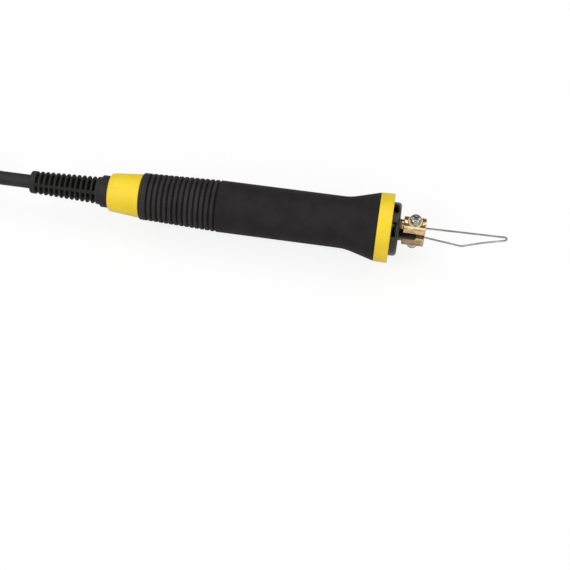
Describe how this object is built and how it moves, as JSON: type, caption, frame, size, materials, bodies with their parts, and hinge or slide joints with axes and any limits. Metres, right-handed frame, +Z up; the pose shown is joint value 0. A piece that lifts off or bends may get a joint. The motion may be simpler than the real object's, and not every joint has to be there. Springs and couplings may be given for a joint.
{
  "type": "hot wire cutter",
  "caption": "Pen-shaped hot wire cutter: ribbed rubber grip on a plastic core, brass clamp posts holding a bent wire loop, slotted boot and a hanked low-voltage cord.",
  "frame": {"origin": "on the table under the middle of the pen, without its cord, below the pen axis", "axes": "+X along the pen axis towards the wire tip, +Z up, with the terminal posts one above the other"},
  "size_m": [0.3765, 0.0547, 0.0308],
  "materials": {
    "core_yellow": "satin moulded plastic",
    "grip_rubber": "matte fine-grained rubber",
    "boot_rubber": "satin flexible moulding",
    "cap_black": "satin phenolic moulding",
    "post_brass": "turned, slightly dulled",
    "screw_nickel": "nickel plated",
    "wire_metal": "drawn resistance wire",
    "stud_zinc": "zinc plated",
    "lug_tin": "tinned",
    "lead_red": "satin insulation",
    "lead_grey": "satin insulation",
    "cord_sheath": "satin sheath",
    "stop_nylon": "natural nylon",
    "strap_fabric": "woven hook and loop strap",
    "plug_black": "satin moulding",
    "plug_metal": "nickel plated",
    "contact_brass": "plain brass"
  },
  "bodies": {
    "pen": {"handle_core": "core_yellow", "grip_sleeve": "grip_rubber", "strain_relief": "boot_rubber", "front_cap": "cap_black", "upper_post": "post_brass", "lower_post": "post_brass", "upper_stud_washer": "stud_zinc", "lower_stud_washer": "stud_zinc", "upper_lug": "lug_tin", "lower_lug": "lug_tin", "upper_lock_washer": "stud_zinc", "lower_lock_washer": "stud_zinc", "upper_nut": "stud_zinc", "lower_nut": "stud_zinc", "upper_sleeve": "lead_red", "lower_sleeve": "lead_grey", "upper_lead": "lead_red", "lower_lead": "lead_grey", "inner_cord": "cord_sheath", "cord_stop": "stop_nylon", "cord": "cord_sheath", "cord_hank": "cord_sheath", "cord_tail": "cord_sheath", "hank_tie": "strap_fabric", "plug_relief": "plug_black", "plug_body": "plug_black", "plug_barrel": "plug_metal", "plug_insulator": "plug_black", "plug_contact": "contact_brass"},
    "wire": {"cutting_wire": "wire_metal"},
    "upper_washer": {"upper_washer": "screw_nickel"},
    "upper_screw": {"upper_screw": "screw_nickel"},
    "lower_washer": {"lower_washer": "screw_nickel"},
    "lower_screw": {"lower_screw": "screw_nickel"}
  },
  "joints": [
    {"name": "wire_draw", "type": "slide", "parent": "pen", "child": "wire", "axis": [1, 0, 0], "range_m": [0, 0.008]},
    {"name": "upper_screw_lift", "type": "slide", "parent": "pen", "child": "upper_washer", "axis": [0, 0, 1], "range_m": [0, 0.0015]},
    {"name": "upper_screw_turn", "type": "hinge", "parent": "upper_washer", "child": "upper_screw", "pos_m": [0.06545, 0, 0.02255], "axis": [0, 0, 1], "range_deg": [0, 1080]},
    {"name": "lower_screw_lift", "type": "slide", "parent": "pen", "child": "lower_washer", "axis": [0, 0, -1], "range_m": [0, 0.0015]},
    {"name": "lower_screw_turn", "type": "hinge", "parent": "lower_washer", "child": "lower_screw", "pos_m": [0.06545, 0, 0.00785], "axis": [0, 0, -1], "range_deg": [0, 1080]}
  ],
  "couplings": [
    {"joint": "upper_screw_turn", "follows": "upper_screw_lift", "rad_per_m": 12566},
    {"joint": "lower_screw_turn", "follows": "lower_screw_lift", "rad_per_m": 12566}
  ]
}
